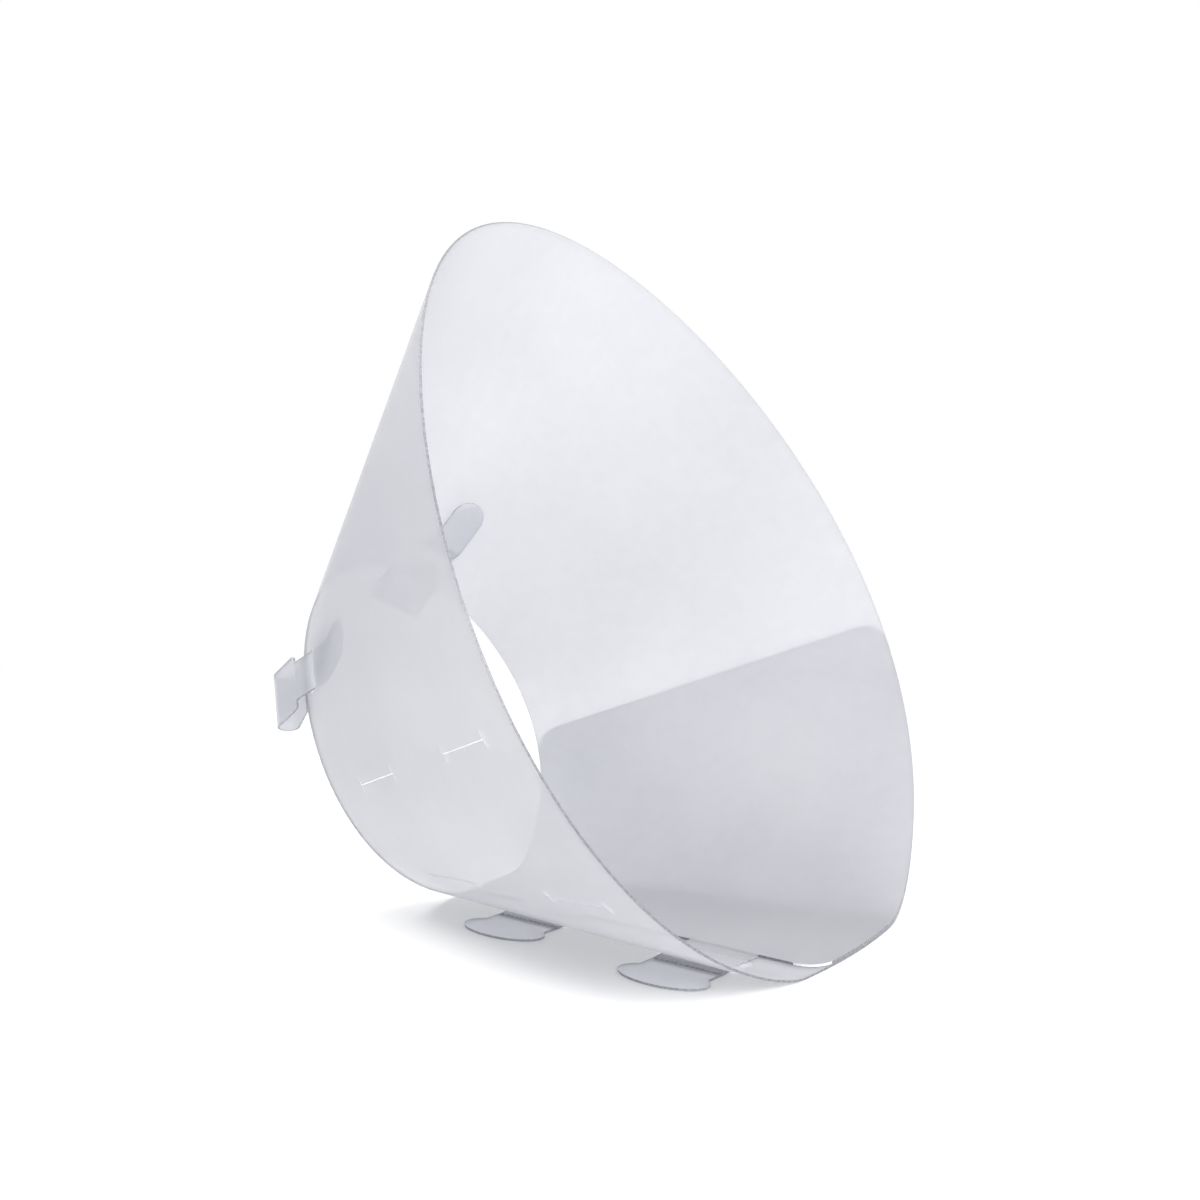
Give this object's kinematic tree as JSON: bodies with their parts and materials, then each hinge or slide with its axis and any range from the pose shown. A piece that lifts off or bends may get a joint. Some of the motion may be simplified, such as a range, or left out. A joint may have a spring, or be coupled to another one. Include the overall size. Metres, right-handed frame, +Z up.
{
  "type": "elizabethan collar",
  "caption": "Cone-shaped pet recovery collar rolled from one frosted plastic sheet, closed by tongues in slits, with loops on the neck edge for the pet's own collar.",
  "frame": {"origin": "on the surface that the collar lies on, under the middle of its bounding box", "axes": "+Z up, +X from the neck opening towards the mouth along the line it lies on, +Y across the cone"},
  "size_m": [0.2331, 0.271, 0.2507],
  "materials": {
    "frosted_sheet": "frosted translucent polypropylene sheet",
    "closure_tongue": "frosted translucent polypropylene sheet",
    "neck_loop": "frosted translucent polypropylene sheet"
  },
  "bodies": {
    "collar": {"cone_sheet": "frosted_sheet", "neck_side_tongue_stem": "closure_tongue", "mouth_side_tongue_stem": "closure_tongue", "upper_loop_root": "neck_loop", "upper_loop_fold": "neck_loop", "lower_loop_root": "neck_loop", "lower_loop_fold": "neck_loop"},
    "neck_side_head": {"neck_side_tongue_head": "closure_tongue"},
    "mouth_side_head": {"mouth_side_tongue_head": "closure_tongue"},
    "upper_loop": {"upper_loop_strap": "neck_loop"},
    "lower_loop": {"lower_loop_strap": "neck_loop"}
  },
  "joints": [
    {"name": "neck_side_head_fold", "type": "hinge", "parent": "collar", "child": "neck_side_head", "pos_m": [0.00484, -0.03544, 0.0004], "axis": [0.9947, -0.1033, 0], "range_deg": [0, 80], "stiffness_Nm_per_rad": 0.003},
    {"name": "mouth_side_head_fold", "type": "hinge", "parent": "collar", "child": "mouth_side_head", "pos_m": [0.07684, -0.04884, 0.0004], "axis": [0.9947, -0.1033, 0], "range_deg": [0, 80], "stiffness_Nm_per_rad": 0.003},
    {"name": "upper_loop_slide", "type": "slide", "parent": "collar", "child": "upper_loop", "axis": [0.8364, 0.044, 0.5464], "range_m": [-0.004, 0.003], "deforming": ["upper_loop_fold"]},
    {"name": "lower_loop_slide", "type": "slide", "parent": "collar", "child": "lower_loop", "axis": [0.8769, -0.029, 0.4798], "range_m": [-0.004, 0.003], "deforming": ["lower_loop_fold"]}
  ]
}
